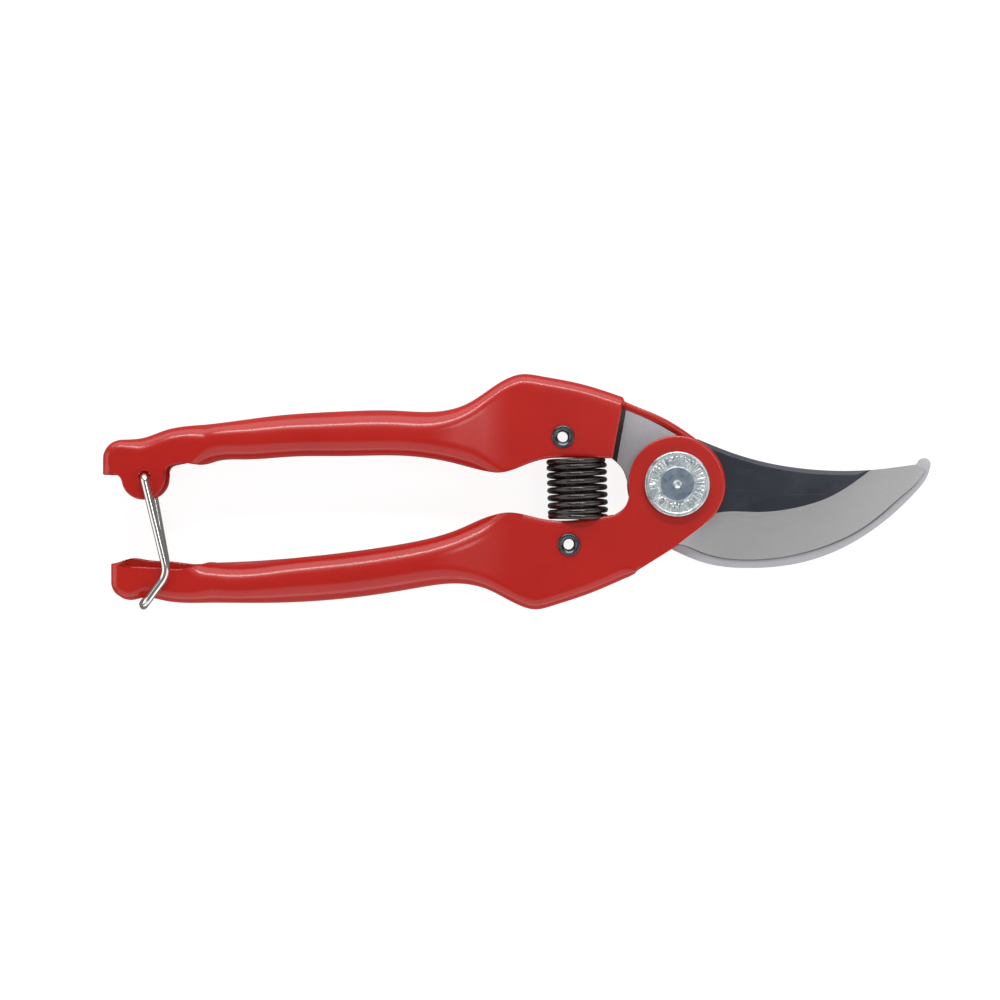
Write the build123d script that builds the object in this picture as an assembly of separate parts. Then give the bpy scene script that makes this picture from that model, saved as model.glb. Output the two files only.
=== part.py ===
from build123d import *
import math
import os

# Bypass pruner, closed and latched.  Millimetres.  +X points to the blade tip, +Y from the
# lower handle to the upper handle, +Z up out of the plane in which the blades slide.
# The origin is on the pivot axis, on the flat face of the nut that the tool lies on.

# ---- driving dimensions: the stack along the pivot ------------------------------------------
SHEET = 1.8            # pressed steel of the handles
BLADE = 3.0            # both blades
SLIP = 0.05            # running clearance between faces that slide on each other
NUT_HEIGHT = 3.2
WASHER_HEIGHT = 0.75
HEAD_HEIGHT = 2.0

WASHER_TOP = NUT_HEIGHT + WASHER_HEIGHT
REAR = WASHER_TOP + SLIP                 # outer face of the rear walls
COUNTER_BOTTOM = REAR + SHEET
COUNTER_TOP = COUNTER_BOTTOM + BLADE
CUTTER_BOTTOM = COUNTER_TOP + SLIP
CUTTER_TOP = CUTTER_BOTTOM + BLADE
FRONT = CUTTER_TOP + SHEET               # outer face of the front walls
MIDDLE = (REAR + FRONT) / 2              # half way between the outer walls
ABOVE = 20.0                             # a height over everything, for cuts that go right through

# ---- widths of the handles, measured from the middle plane -----------------------------------
HEAD_HALF = (FRONT - REAR) / 2
GRIP_HALF = 7.0
TAIL_HALF = 6.5
RAMP_END = -39.0                         # the head is flat from here to the blades
RAMP_START = -56.5
TAIL_START = -104.0
TAIL_FLAT = -109.5
EDGE_ROUND = 3.0                         # outside bend between a handle's back and its walls
PROFILE_ENDS = (-140.0, 20.0)            # the side view reaches past both ends of the handles
PROFILE_REACH = 60.0                     # and this far to both sides of the pivot
HOLLOW_RUN = 20.0                        # how far the hollow is cut on past the open sides
HOLLOW_CORNER = 2.0                      # slanted inside corner at the tails

# ---- blades -----------------------------------------------------------------------------------
GROUND_DEPTH = 2.7                       # the ground edge, through the blade and across it
GROUND_WIDTH = 4.0
HOOK_BEVEL = 1.2
HUB_RADIUS = 10.9
NEST_GAP = 0.1                           # between the counter blade and the strip it lies against

# ---- pivot ------------------------------------------------------------------------------------
BOLT_RADIUS = 4.0
HEAD_RADIUS = 7.5
RING_OUTER = 6.7                         # shallow ring pressed into the head
RING_INNER = 3.9
RING_DEPTH = 0.25
DIMPLE_RADIUS = 0.9
HEAD_ROUND = 0.4
BOLT_END_CHAMFER = 0.5
EYE_RADIUS = 11.15
NUT_ACROSS_FLATS = 13.0
NUT_CORNER = 0.6                         # how far the turned corners stand outside the flats
NUT_CHAMFER = 0.5
WASHER_RADIUS = 7.6

# ---- hollow rivets that hold the blades' tangs -------------------------------------------------
RIVET_RADIUS = 1.8
RIVET_BORE = 1.25
RIVET_RIM = 2.6
RIVET_RIM_HEIGHT = 0.6
RIVET_RIM_ROUND = 0.4
UPPER_RIVET = (-26.2, 10.9)
LOWER_RIVET = (-24.8, -13.9)

# ---- return spring ----------------------------------------------------------------------------
SPRING_X = -23.0
SPRING_RADIUS = 6.4                      # to the middle of the wire
SPRING_WIRE = 1.3
SPRING_LOW = -6.7
SPRING_HIGH = 5.4
SPRING_TURNS = 7.0

# ---- lock bail ---------------------------------------------------------------------------------
WIRE = 1.85
BAIL_HINGE = (-122.2, 1.6)
BAIL_KNEE = (-116.8, -20.5)
BAIL_CROSSBAR = (-122.2, -27.9)
BAIL_TWIST = 3.4                         # degrees by which the rear leg is bent outwards
BAIL_GAP = 0.3                           # between a leg and the wall that it passes
BAIL_HOLE = WIRE / 2 + 0.075
BAIL_BEND = 2.2
BAIL_KNEE_BEND = 4.8
BAIL_PIN_BEND = 1.2
BAIL_PIN_PAST = 0.6                      # the hinge ends reach this far inside the walls
LEG_HALF = TAIL_HALF + BAIL_GAP + WIRE / 2

# ---- outlines seen from the front ---------------------------------------------------------------
UPPER_BACK = [(-127.6, 10.2), (-122.5, 10.7), (-118.0, 12.3), (-108.0, 13.75), (-94.0, 15.55),
              (-76.0, 16.8), (-65.0, 16.95), (-54.0, 16.85), (-48.5, 18.4), (-40.4, 23.6),
              (-35.6, 25.35), (-31.5, 24.95), (-22.0, 23.1), (-12.2, 20.0)]
UPPER_OPEN = [(-14.75, 6.0), (-24.0, 6.1), (-30.5, 5.8), (-35.5, 4.2), (-40.7, 2.6), (-46.0, 3.35),
              (-52.0, 4.95), (-63.0, 6.5), (-76.0, 6.45), (-89.0, 6.3), (-103.0, 5.5), (-117.5, 4.0)]
TAB_CENTRE = (-122.4, 1.35)
TAB_RADIUS = 5.0
BEAK_X = -131.9
BEAK_LOW = 2.1
BEAK_SHOULDER = 6.0
BEAK_ROUND = 4.25

LOWER_BACK = [(-127.9, -26.1), (-125.5, -26.7), (-122.4, -26.1), (-118.5, -26.7), (-108.0, -27.35),
              (-92.0, -27.35), (-70.0, -25.6), (-60.0, -24.0), (-50.0, -22.95), (-44.3, -24.0),
              (-36.0, -28.05), (-32.7, -28.9), (-28.5, -28.05), (-20.5, -25.4), (-12.2, -21.9)]
LOWER_OPEN = [(-14.4, -7.1), (-22.0, -8.2), (-30.0, -8.2), (-39.2, -6.5), (-49.6, -10.1),
              (-63.6, -13.85), (-76.0, -15.7), (-90.0, -17.2), (-105.0, -18.1)]
LOWER_TAIL_X = -130.0
LOWER_TAIL_STEP = -110.5
LOWER_TAIL_TOP = -19.2
LOWER_TAIL_SHOULDER = -22.4
LOWER_TAIL_ROUND = 4.3
LOWER_REAR_TOP = -17.7                   # the rear wall stands a little higher at the tail
LOWER_REAR_ROOT = -21.2
LOWER_REAR_CORNER = 0.6

UPPER_STRIP = [(-12.2, 19.4), (-3.8, 15.75), (5.2, 10.3)]      # back of the handle beside the eye
LOWER_STRIP = [(-12.2, -21.8), (-9.6, -20.6)]
UPPER_THROAT = [(-14.75, 6.0), (-12.3, 3.6), (-11.1, 0.5)]     # rim of the round window at the spring
LOWER_THROAT = [(-14.4, -7.1), (-11.9, -5.2), (-11.0, -2.4)]
UPPER_EYE_ROOT = [(-20.0, 19.5), (-20.0, 8.0)]                 # where an eye overlaps its handle
LOWER_EYE_ROOT = [(-20.0, -22.5), (-20.0, -9.0)]
LOWER_FLANK = [(-9.6, -20.6), (-8.8, -19.7), (-1.2, -14.95), (8.2, -7.5)]   # front wall, past its back

CUTTER_BACK = [(5.0, 10.3), (13.1, 7.1), (20.7, 4.95), (32.0, 3.3), (44.6, 3.25), (55.0, 4.5)]
CUTTER_TIP = (57.6, 3.5)
CUTTER_EDGE = [(55.9, 0.6), (47.1, -7.5), (41.3, -11.5), (33.5, -14.9), (24.0, -17.2),
               (16.0, -17.7), (5.2, -15.7), (0.4, -14.1)]
CUTTER_TANG = [(-8.6, -17.9), (-13.0, -19.5), (-30.6, -25.2), (-31.4, -10.0), (-17.0, -9.5),
               (-9.6, -4.4), (-8.4, 6.2), (-2.6, 10.2)]
HOOK_OUTER = [(-1.3, -14.9), (7.1, -18.35), (17.0, -19.4), (28.5, -18.25), (39.0, -14.5),
              (49.0, -7.9), (55.6, -1.6), (58.2, 2.1), (58.85, 4.2)]
HOOK_TIP = [(58.85, 4.2), (57.8, 6.05), (56.3, 5.1)]
HOOK_INNER = [(56.3, 5.1), (49.0, -1.6), (38.0, -9.0), (26.0, -12.6), (16.0, -11.6), (9.3, -5.8)]
COUNTER_TANG = [(-31.0, 19.5), (-31.0, 8.5)]
COUNTER_HEEL = (-9.6, -5.0)


def slab(face, bottom, top):
    """A flat face of the XY plane made into a plate between two heights."""
    return extrude(Pos(0, 0, bottom) * face, top - bottom)


def disc(centre, radius, bottom, top):
    """A round plate or plug on an axis along Z."""
    return slab(Pos(*centre) * Circle(radius), bottom, top)


def hole(centre, radius):
    """The plug that cuts a hole along Z right through the tool."""
    return disc(centre, radius, 0, ABOVE)


def on_curve(edge, curve):
    """Whether an edge of a plate lies over a curve of the XY plane."""
    middle = edge @ 0.5
    return curve.distance_to(Vector(middle.X, middle.Y, 0)) < SLIP


def inward(points, distance):
    """The same row of points moved sideways, to the right of its direction, by a distance."""
    curve = Spline(*points)
    shifted = []
    for point in points:
        place = curve.param_at_point(Vector(*point))
        tangent = curve % place
        shifted.append((point[0] + tangent.Y * distance, point[1] - tangent.X * distance))
    return shifted


def width_profile(inset):
    """Side view of a handle, seen along Y: flat head, ramp, wide grip and parallel tail."""
    tail, grip, head = TAIL_HALF - inset, GRIP_HALF - inset, HEAD_HALF - inset
    left, right = PROFILE_ENDS
    level = ((1, 0), (1, 0))
    top = [Line((left, tail), (TAIL_FLAT, tail)),
           Spline((TAIL_FLAT, tail), (TAIL_START, grip), tangents=level),
           Line((TAIL_START, grip), (RAMP_START, grip)),
           Spline((RAMP_START, grip), (RAMP_END, head), tangents=level),
           Line((RAMP_END, head), (right, head))]
    bottom = [mirror(edge, about=Plane.XZ) for edge in top]
    ends = [Line((left, tail), (left, -tail)), Line((right, head), (right, -head))]
    side = extrude(Plane.XZ * make_face(top + bottom + ends), PROFILE_REACH, both=True)
    return Pos(0, 0, MIDDLE) * side


def rounded_back(solid, back_points):
    """Rounds the two long edges where the back bends into the walls."""
    curve = Spline(*back_points)
    bends = [e for e in solid.edges() if on_curve(e, curve) and abs((e @ 0.5).Z - MIDDLE) > HEAD_HALF - 0.1]
    return fillet(bends, EDGE_ROUND)


def upper_outline():
    """Upper handle seen from the front, without its eye."""
    back = Spline(*UPPER_BACK)
    front_edge = Line(UPPER_BACK[-1], UPPER_OPEN[0])
    grip_edge = Spline(*UPPER_OPEN)
    shoulder = (BEAK_X, BEAK_SHOULDER)
    tail_edge = Polyline(UPPER_OPEN[-1], (UPPER_OPEN[-1][0], BEAK_LOW), (BEAK_X, BEAK_LOW), shoulder)
    beak = RadiusArc(shoulder, UPPER_BACK[0], BEAK_ROUND)
    return make_face([back, front_edge, grip_edge, *tail_edge.edges(), beak])


def lower_outline():
    """Lower handle seen from the front, without its eye."""
    back = Spline(*LOWER_BACK)
    rear_edge = Line(LOWER_BACK[-1], LOWER_OPEN[0])
    grip_edge = Spline(*LOWER_OPEN)
    shoulder = (LOWER_TAIL_X, LOWER_TAIL_SHOULDER)
    tail_edge = Polyline(LOWER_OPEN[-1], (LOWER_TAIL_STEP, LOWER_TAIL_TOP), (LOWER_TAIL_X, LOWER_TAIL_TOP),
                         shoulder)
    corner = RadiusArc(shoulder, LOWER_BACK[0], -LOWER_TAIL_ROUND)
    return make_face([back, rear_edge, grip_edge, *tail_edge.edges(), corner])


def hollow(back_points, side, end_x):
    """The inside of a handle: open towards the other handle and towards the blades."""
    inner = inward(back_points, side * SHEET)
    start, last = Vector(*inner[0]), Vector(*inner[-1])
    past = last + (Spline(*inner) % 1) * HOLLOW_RUN
    wall_x = end_x + SHEET
    open_y = -side * HOLLOW_RUN
    corner = (wall_x, start.Y - side * HOLLOW_CORNER)
    rim = Polyline(last, past, (past.X, open_y), (wall_x, open_y), corner, start)
    return extrude(make_face([Spline(*inner), *rim.edges()]), ABOVE) & width_profile(SHEET)


def upper_eye_outline():
    """Rear wall of the upper handle around the pivot."""
    throat = ThreePointArc(*UPPER_THROAT)
    strip = Spline(*UPPER_STRIP)
    rest = Polyline(UPPER_THROAT[-1], (0, 0), UPPER_STRIP[-1])
    left = Polyline(UPPER_STRIP[0], *UPPER_EYE_ROOT, UPPER_THROAT[0])
    return make_face([throat, *rest.edges(), strip, *left.edges()]) + Circle(EYE_RADIUS)


def upper_handle():
    handle = rounded_back(slab(upper_outline(), 0, ABOVE) & width_profile(0), UPPER_BACK)
    handle -= hollow(UPPER_BACK, 1, BEAK_X)
    handle += slab(upper_eye_outline(), REAR, COUNTER_BOTTOM)
    inner = inward(UPPER_STRIP, SHEET)
    strip = make_face([Spline(*UPPER_STRIP), Line(UPPER_STRIP[-1], inner[-1]), Spline(*inner),
                       Line(inner[0], UPPER_STRIP[0])])
    handle += slab(strip - Circle(EYE_RADIUS), REAR, COUNTER_TOP)
    for side in (-1, 1):
        outer = MIDDLE + side * TAIL_HALF
        inner_face = outer - side * SHEET
        handle += disc(TAB_CENTRE, TAB_RADIUS, min(outer, inner_face), max(outer, inner_face))
    handle -= hole(BAIL_HINGE, BAIL_HOLE)
    handle -= hole(UPPER_RIVET, RIVET_RADIUS)
    return handle - hole((0, 0), BOLT_RADIUS + SLIP)


def lower_eye_outline():
    """Front wall of the lower handle around the pivot."""
    throat = ThreePointArc(*LOWER_THROAT)
    rest = Polyline(LOWER_THROAT[-1], (0, 0), LOWER_FLANK[-1])
    flank = Polyline(*reversed(LOWER_FLANK))
    left = Polyline(LOWER_FLANK[0], LOWER_STRIP[0], *LOWER_EYE_ROOT, LOWER_THROAT[0])
    return make_face([throat, *rest.edges(), *flank.edges(), *left.edges()]) + Circle(EYE_RADIUS)


def lower_handle():
    handle = rounded_back(slab(lower_outline(), 0, ABOVE) & width_profile(0), LOWER_BACK)
    handle -= hollow(LOWER_BACK, -1, LOWER_TAIL_X)
    handle += slab(lower_eye_outline(), CUTTER_TOP, FRONT)
    inner = inward(LOWER_STRIP, -SHEET)
    strip = make_face(Polyline(*LOWER_STRIP, *reversed(inner), close=True))
    handle += slab(strip, CUTTER_BOTTOM, FRONT)
    corner = [(LOWER_TAIL_X, LOWER_REAR_TOP - LOWER_REAR_CORNER),
              (LOWER_TAIL_X + LOWER_REAR_CORNER, LOWER_REAR_TOP)]
    rise = make_face(Polyline((LOWER_TAIL_X, LOWER_REAR_ROOT), *corner, (TAIL_FLAT, LOWER_REAR_TOP),
                              (TAIL_FLAT, LOWER_REAR_ROOT), close=True))
    handle += slab(rise, MIDDLE - TAIL_HALF, MIDDLE - TAIL_HALF + SHEET)
    handle -= hole(LOWER_RIVET, RIVET_RADIUS)
    return handle - hole((0, 0), BOLT_RADIUS + SLIP)


def cutting_blade():
    """Blade with a convex ground edge; its tang lies inside the lower handle's front wall."""
    back = Spline(*CUTTER_BACK)
    tip = Polyline(CUTTER_BACK[-1], CUTTER_TIP, CUTTER_EDGE[0])
    edge = Spline(*CUTTER_EDGE)
    tang = Polyline(CUTTER_EDGE[-1], *CUTTER_TANG, CUTTER_BACK[0])
    blade = slab(make_face([back, *tip.edges(), edge, *tang.edges()]), CUTTER_BOTTOM, CUTTER_TOP)
    ground = [e for e in blade.edges() if on_curve(e, edge) and (e @ 0.5).Z > CUTTER_TOP - SLIP]
    blade = chamfer(ground, GROUND_DEPTH, GROUND_WIDTH)
    blade -= hole((0, 0), BOLT_RADIUS)
    return blade - hole(LOWER_RIVET, RIVET_RADIUS)


def counter_blade():
    """Blunt hook behind the cutting blade; its tang lies against the upper handle's rear wall."""
    outer = Spline(*HOOK_OUTER)
    tip = ThreePointArc(*HOOK_TIP)
    inner = Spline(*HOOK_INNER)
    nest = inward(UPPER_STRIP, SHEET + NEST_GAP)
    hub = RadiusArc(HOOK_INNER[-1], nest[-1], -HUB_RADIUS)
    tang = Polyline(nest[0], *COUNTER_TANG, UPPER_THROAT[0])
    throat = ThreePointArc(*UPPER_THROAT)
    heel = Polyline(UPPER_THROAT[-1], COUNTER_HEEL, HOOK_OUTER[0])
    blade = slab(make_face([outer, tip, inner, hub, Spline(*reversed(nest)), *tang.edges(), throat,
                            *heel.edges()]), COUNTER_BOTTOM, COUNTER_TOP)
    bevel = [e for e in blade.edges() if on_curve(e, inner) and (e @ 0.5).Z > COUNTER_TOP - SLIP]
    blade = chamfer(bevel, HOOK_BEVEL)
    blade -= hole((0, 0), BOLT_RADIUS + SLIP)
    return blade - hole(UPPER_RIVET, RIVET_RADIUS)


def pivot_bolt():
    """Shank with a broad flat head: raised rim, shallow ring and a centre dimple."""
    head = disc((0, 0), HEAD_RADIUS, FRONT, FRONT + HEAD_HEIGHT)
    head = fillet(head.edges().sort_by(Axis.Z)[-1], HEAD_ROUND)
    ring = Pos(0, 0, FRONT + HEAD_HEIGHT - RING_DEPTH) * (Circle(RING_OUTER) - Circle(RING_INNER))
    dimple = Pos(0, 0, FRONT + HEAD_HEIGHT) * Sphere(DIMPLE_RADIUS)
    head = head - extrude(ring, HEAD_HEIGHT) - dimple
    shank = disc((0, 0), BOLT_RADIUS, 0, FRONT)
    return head + chamfer(shank.edges().sort_by(Axis.Z)[0], BOLT_END_CHAMFER)


def pivot_nut():
    hexagon = RegularPolygon(NUT_ACROSS_FLATS / 2, 6, major_radius=False)
    nut = slab(hexagon, 0, NUT_HEIGHT)
    corner = disc((0, 0), NUT_ACROSS_FLATS / 2 + NUT_CORNER, 0, NUT_HEIGHT)
    corner = chamfer(corner.edges(), NUT_CHAMFER)
    return (nut & corner) - disc((0, 0), BOLT_RADIUS, 0, NUT_HEIGHT)


def pivot_washer():
    washer = disc((0, 0), WASHER_RADIUS, NUT_HEIGHT, WASHER_TOP)
    return washer - hole((0, 0), BOLT_RADIUS + SLIP)


def hollow_rivet(centre):
    """Tubular rivet through both walls and the tang, with a rolled rim at each end."""
    barrel = disc(centre, RIVET_RADIUS, REAR, FRONT)
    front_rim = disc(centre, RIVET_RIM, FRONT, FRONT + RIVET_RIM_HEIGHT)
    rear_rim = disc(centre, RIVET_RIM, REAR - RIVET_RIM_HEIGHT, REAR)
    front_rim = fillet(front_rim.edges().sort_by(Axis.Z)[-1], RIVET_RIM_ROUND)
    rear_rim = fillet(rear_rim.edges().sort_by(Axis.Z)[0], RIVET_RIM_ROUND)
    return barrel + front_rim + rear_rim - hole(centre, RIVET_BORE)


def round_wire(path, diameter):
    """A wire of one diameter along a smooth path."""
    section = Plane(origin=path @ 0, z_dir=path % 0) * Circle(diameter / 2)
    return sweep(section, path=path)


def return_spring():
    """Compression coil between the two handles, its axis across them."""
    height = SPRING_HIGH - SPRING_LOW
    coil = Helix(height / SPRING_TURNS, height, SPRING_RADIUS, center=(SPRING_X, SPRING_LOW, MIDDLE),
                 direction=(0, 1, 0))
    section = Plane(origin=coil @ 0, z_dir=coil % 0) * Circle(SPRING_WIRE / 2)
    return sweep(section, path=coil, is_frenet=True)


def turned_round(point, centre, degrees):
    """A point of the XY plane turned clockwise round a centre."""
    offset = Vector(point[0] - centre[0], point[1] - centre[1]).rotate(Axis.Z, -degrees)
    return (centre[0] + offset.X, centre[1] + offset.Y)


def lock_bail():
    """One bent wire: two hinge ends in the tabs, two cranked legs and the crossbar."""
    pin_end = TAIL_HALF - SHEET - BAIL_PIN_PAST
    front_leg = [BAIL_HINGE, BAIL_KNEE, BAIL_CROSSBAR]
    rear_leg = [turned_round(point, BAIL_HINGE, BAIL_TWIST) for point in front_leg]
    route = [Vector(*BAIL_HINGE, MIDDLE + pin_end)]
    route += [Vector(*point, MIDDLE + LEG_HALF) for point in front_leg]
    route += [Vector(*point, MIDDLE - LEG_HALF) for point in reversed(rear_leg)]
    route.append(Vector(*BAIL_HINGE, MIDDLE - pin_end))
    bends = [BAIL_PIN_BEND, BAIL_KNEE_BEND, BAIL_BEND]
    return round_wire(FilletPolyline(*route, radius=bends + bends[::-1]), WIRE)


def main():
    parts = {
        "upper_handle": upper_handle(),
        "lower_handle": lower_handle(),
        "cutting_blade": cutting_blade(),
        "counter_blade": counter_blade(),
        "pivot_bolt": pivot_bolt(),
        "pivot_nut": pivot_nut(),
        "pivot_washer": pivot_washer(),
        "upper_blade_rivet": hollow_rivet(UPPER_RIVET),
        "lower_blade_rivet": hollow_rivet(LOWER_RIVET),
        "return_spring": return_spring(),
        "lock_bail": lock_bail(),
    }
    os.makedirs("parts", exist_ok=True)
    for name, part in parts.items():
        export_step(part, f"parts/{name}.step")


main()
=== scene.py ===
import math

import bmesh
import bpy
import numpy as np
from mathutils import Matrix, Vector


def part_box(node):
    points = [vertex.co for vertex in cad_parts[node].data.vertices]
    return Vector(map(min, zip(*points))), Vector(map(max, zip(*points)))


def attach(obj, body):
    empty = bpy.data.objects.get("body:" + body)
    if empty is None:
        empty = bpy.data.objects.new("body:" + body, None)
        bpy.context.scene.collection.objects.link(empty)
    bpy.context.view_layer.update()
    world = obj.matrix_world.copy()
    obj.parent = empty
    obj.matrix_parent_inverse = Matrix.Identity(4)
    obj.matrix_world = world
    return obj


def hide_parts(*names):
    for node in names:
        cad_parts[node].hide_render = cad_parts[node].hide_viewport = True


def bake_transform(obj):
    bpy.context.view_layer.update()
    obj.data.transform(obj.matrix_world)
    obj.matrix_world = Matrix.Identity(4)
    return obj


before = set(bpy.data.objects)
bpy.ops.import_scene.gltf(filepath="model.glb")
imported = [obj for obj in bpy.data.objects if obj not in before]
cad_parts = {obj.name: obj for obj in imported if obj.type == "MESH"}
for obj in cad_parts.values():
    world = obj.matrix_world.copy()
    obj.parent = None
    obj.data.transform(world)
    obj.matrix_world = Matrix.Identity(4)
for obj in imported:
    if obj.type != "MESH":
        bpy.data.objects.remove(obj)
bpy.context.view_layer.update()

# Bypass pruner, closed and latched.  Lengths are millimetres in the CAD frame until a mesh is made.
MM = 0.001


def span(node, axis):
    """Lowest and highest coordinate of a CAD node along an axis, in millimetres."""
    low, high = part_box(node)
    return low[axis] / MM, high[axis] / MM


# ---- the stack along the pivot, from the frame ------------------------------------------------
SHEET = 1.8
COUNTER_BOTTOM, COUNTER_TOP = span("counter_blade", 2)
CUTTER_BOTTOM, CUTTER_TOP = span("cutting_blade", 2)
MIDDLE = (COUNTER_TOP + CUTTER_BOTTOM) / 2
FRONT = CUTTER_TOP + SHEET
REAR = COUNTER_BOTTOM - SHEET
HEAD_TOP = span("pivot_bolt", 2)[1]
NUT_TOP = span("pivot_nut", 2)[1]
WASHER_TOP = span("pivot_washer", 2)[1]
HEAD_HALF = FRONT - MIDDLE
GRIP_HALF = 7.0
TAIL_HALF = 6.5
CLEARANCE = 0.05         # round the bolt's shank

# ---- places seen from the front ----------------------------------------------------------------
EYE_RADIUS = 11.15
BOLT_RADIUS = 4.0
HEAD_RADIUS = 7.5
RIVET_RADIUS = 1.8
UPPER_RIVET = (-26.2, 10.9)
LOWER_RIVET = (-24.8, -13.9)
BAIL_HINGE = (-122.2, 1.6)
FRONT_HINGE_HOLE = (-122.2, 1.85)   # wider than the wire that turns in it
BAIL_KNEE = (-116.8, -20.5)
BAIL_CROSSBAR = (-122.2, -27.9)
TAB_CENTRE = (-122.5, 1.35)
TAB_RADIUS = 4.95
TAIL_END = -113.0        # the tail's stations end and the grip's begin
HEAD_END = -12.2         # the head's slanted end, at the back
THROAT_TOP = (-14.75, 6.0)
THROAT_MIDDLE = (-12.3, 3.6)
STRIP_MIDDLE = (-3.8, 15.75)   # on the low strip beside the rear eye
CURVE_POINTS = 900


# ================================ curves in the plane of the tool ================================

def smooth(points, count=400):
    """Natural cubic spline through a few points, as evenly spaced points."""
    p = np.array(points, float)
    gaps = np.linalg.norm(np.diff(p, axis=0), axis=1)
    knots = np.concatenate([[0], np.cumsum(gaps)])
    n = len(p)
    system = np.eye(n)
    right = np.zeros_like(p)
    for i in range(1, n - 1):
        system[i, i - 1:i + 2] = gaps[i - 1], 2 * (gaps[i - 1] + gaps[i]), gaps[i]
        right[i] = 6 * ((p[i + 1] - p[i]) / gaps[i] - (p[i] - p[i - 1]) / gaps[i - 1])
    bend = np.linalg.solve(system, right)
    out = []
    for t in np.linspace(0, knots[-1], 40 * n):
        i = min(int(np.searchsorted(knots, t, side="right")) - 1, n - 2)
        a, b, h = knots[i + 1] - t, t - knots[i], gaps[i]
        out.append((bend[i] * a ** 3 + bend[i + 1] * b ** 3) / (6 * h)
                   + (p[i] / h - bend[i] * h / 6) * a + (p[i + 1] / h - bend[i + 1] * h / 6) * b)
    return even(out, count)


def even(points, count):
    """A polyline spaced evenly along its length."""
    p = np.array(points, float)
    along = np.concatenate([[0], np.cumsum(np.linalg.norm(np.diff(p, axis=0), axis=1))])
    places = np.linspace(0, along[-1], count)
    return np.stack([np.interp(places, along, p[:, k]) for k in range(p.shape[1])], axis=1)


def arc(centre, radius, start, end, count=60):
    """Part of a circle, angles in degrees."""
    angles = np.radians(np.linspace(start, end, count))
    return np.stack([centre[0] + radius * np.cos(angles), centre[1] + radius * np.sin(angles)], axis=1)


def chain(*parts):
    """Polylines end to end, without repeated points."""
    whole = np.concatenate([np.array(part, float) for part in parts])
    keep = np.concatenate([[True], np.linalg.norm(np.diff(whole, axis=0), axis=1) > 1e-4])
    return whole[keep]


def at_x(curve, xs):
    """Points of a curve, which runs one way in X, at given X."""
    order = np.argsort(curve[:, 0])
    return np.stack([xs, np.interp(xs, curve[order, 0], curve[order, 1])], axis=1)


def cut(curve, low, high):
    """The stretch of a curve, which runs one way in X, between two X, from left to right."""
    return at_x(curve, np.linspace(low, high, 200))


def ease(x, start, end):
    """0 before start, 1 after end, smooth between them."""
    t = np.clip((np.asarray(x, float) - start) / (end - start), 0, 1)
    return t * t * (3 - 2 * t)


def inward_normals(points, side):
    """Unit normals of a polyline, to the right (side 1) or left (side -1) of its direction."""
    run = np.gradient(points, axis=0)
    run /= np.linalg.norm(run, axis=1)[:, None]
    return side * np.stack([run[:, 1], -run[:, 0]], axis=1)


# ================================ meshes ==========================================================

def add_grid(bm, points):
    """Faces over a grid of points [along, across, xyz]."""
    verts = [[bm.verts.new(p) for p in row] for row in points]
    for a, b in zip(verts, verts[1:]):
        for i in range(len(a) - 1):
            bm.faces.new((a[i], a[i + 1], b[i + 1], b[i]))
    return verts


def weld(bm, distance=1e-3):
    """Joins points that lie together."""
    bmesh.ops.remove_doubles(bm, verts=bm.verts, dist=distance)
    bmesh.ops.dissolve_degenerate(bm, edges=bm.edges, dist=distance)


def to_piece(name, bm, materials):
    """A new object from a bmesh in millimetres."""
    weld(bm)
    bmesh.ops.recalc_face_normals(bm, faces=bm.faces)
    bmesh.ops.scale(bm, vec=(MM, MM, MM), verts=bm.verts)
    mesh = bpy.data.meshes.new(name)
    bm.to_mesh(mesh)
    bm.free()
    for material in materials:
        mesh.materials.append(material)
    piece = bpy.data.objects.new(name, mesh)
    bpy.context.scene.collection.objects.link(piece)
    return piece


def modify(piece, kind, **settings):
    """Applies one modifier to a piece's mesh."""
    modifier = piece.modifiers.new(kind, kind)
    for key, value in settings.items():
        setattr(modifier, key, value)
    graph = bpy.context.evaluated_depsgraph_get()
    mesh = bpy.data.meshes.new_from_object(piece.evaluated_get(graph), depsgraph=graph)
    piece.modifiers.clear()
    piece.data = mesh


def round_rims(piece, width, segments, angle=50):
    """Rounds every edge sharper than an angle."""
    modify(piece, "BEVEL", width=width * MM, segments=segments, limit_method="ANGLE",
           angle_limit=math.radians(angle), harden_normals=False)


def combine(piece, bm, operation="DIFFERENCE"):
    """Takes the solid in a bmesh away from a piece, or keeps what both share."""
    cutter = to_piece("cutter", bm, [])
    modify(piece, "BOOLEAN", operation=operation, solver="EXACT", object=cutter)
    bpy.data.objects.remove(cutter)


def drill(piece, holes, low=-30.0, high=50.0):
    """Cuts holes along Z between two levels: (centre, radius along X, radius along Y)."""
    for (x, y), rx, ry in holes:
        bm = bmesh.new()
        bmesh.ops.create_cone(bm, cap_ends=True, segments=64, radius1=1, radius2=1, depth=high - low)
        bmesh.ops.scale(bm, vec=(rx, ry, 1), verts=bm.verts)
        bmesh.ops.translate(bm, vec=(x, y, (low + high) / 2), verts=bm.verts)
        combine(piece, bm)


def shade(piece, angle=32.0):
    """Smooth shading, with crisp edges where the surface turns sharply."""
    bm = bmesh.new()
    bm.from_mesh(piece.data)
    for face in bm.faces:
        face.smooth = True
    for edge in bm.edges:
        edge.smooth = not (len(edge.link_faces) == 2 and edge.calc_face_angle() > math.radians(angle))
    bm.to_mesh(piece.data)
    bm.free()
    return piece


def place(piece, node, body):
    """A finished piece that stands for a CAD node and moves with its body."""
    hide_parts(node)
    if body:
        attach(piece, body)
    return piece


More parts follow.
